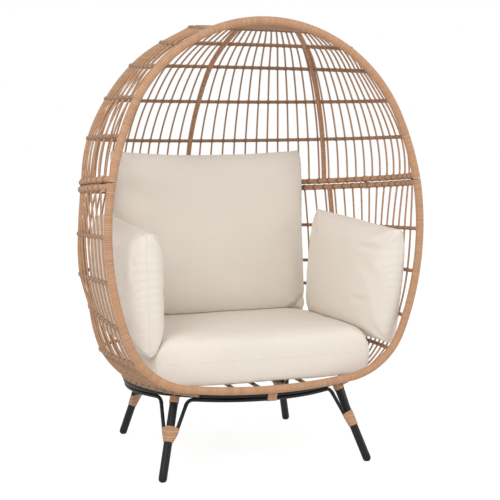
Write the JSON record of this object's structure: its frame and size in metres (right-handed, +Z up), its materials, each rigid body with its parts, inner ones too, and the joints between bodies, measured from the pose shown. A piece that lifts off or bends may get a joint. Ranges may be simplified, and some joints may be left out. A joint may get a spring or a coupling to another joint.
{
  "type": "standing egg chair",
  "caption": "Standing egg chair: a wicker cage shell in two bolted halves on a tubular steel base with splayed legs, with loose seat, back and side cushions.",
  "frame": {"origin": "on the ground, under the middle of the whole chair's width and depth", "axes": "+Z up, +Y to the back, +X to the right as seen from the front"},
  "size_m": [1.1398, 0.9365, 1.4904],
  "materials": {
    "wicker": "light brown wound wicker",
    "dark_wicker": "brown wound wicker, a little darker",
    "powder_coat": "black powder coat, satin",
    "zinc": "zinc-plated fasteners",
    "cloth": "cream polyester canvas"
  },
  "bodies": {
    "root": {"upper_rim": "wicker", "lower_rim": "wicker", "upper_seam_rail": "wicker", "lower_seam_rail": "wicker", "crown_hoop": "dark_wicker", "upper_hoop_1": "dark_wicker", "upper_hoop_2": "dark_wicker", "upper_hoop_3": "dark_wicker", "upper_hoop_4": "dark_wicker", "lower_hoop_1": "dark_wicker", "lower_hoop_2": "dark_wicker", "lower_hoop_3": "dark_wicker", "lower_hoop_4": "dark_wicker", "bottom_hoop": "dark_wicker", "upper_back_rib": "wicker", "upper_left_rib": "wicker", "upper_right_rib": "wicker", "lower_back_rib": "wicker", "lower_left_rib": "wicker", "lower_right_rib": "wicker", "upper_strands_1": "dark_wicker", "upper_strands_2": "dark_wicker", "upper_strands_3": "dark_wicker", "upper_strands_4": "dark_wicker", "upper_strands_5": "dark_wicker", "crown_strands": "dark_wicker", "lower_strands_1": "dark_wicker", "lower_strands_2": "dark_wicker", "lower_strands_3": "dark_wicker", "lower_strands_4": "dark_wicker", "lower_strands_5": "dark_wicker", "seat_bars": "dark_wicker", "seam_bolts": "zinc", "seam_washers": "powder_coat", "base_ring": "powder_coat", "front_left_leg": "powder_coat", "front_right_leg": "powder_coat", "back_left_leg": "powder_coat", "back_right_leg": "powder_coat", "front_left_foot": "powder_coat", "front_right_foot": "powder_coat", "back_left_foot": "powder_coat", "back_right_foot": "powder_coat", "front_brace": "powder_coat", "left_brace": "powder_coat", "right_brace": "powder_coat", "back_brace": "powder_coat", "leg_bindings": "wicker", "leg_collars": "wicker", "ring_binding": "wicker", "seat_cushion": "cloth", "back_cushion": "cloth", "left_pillow": "cloth", "right_pillow": "cloth"}
  },
  "joints": []
}
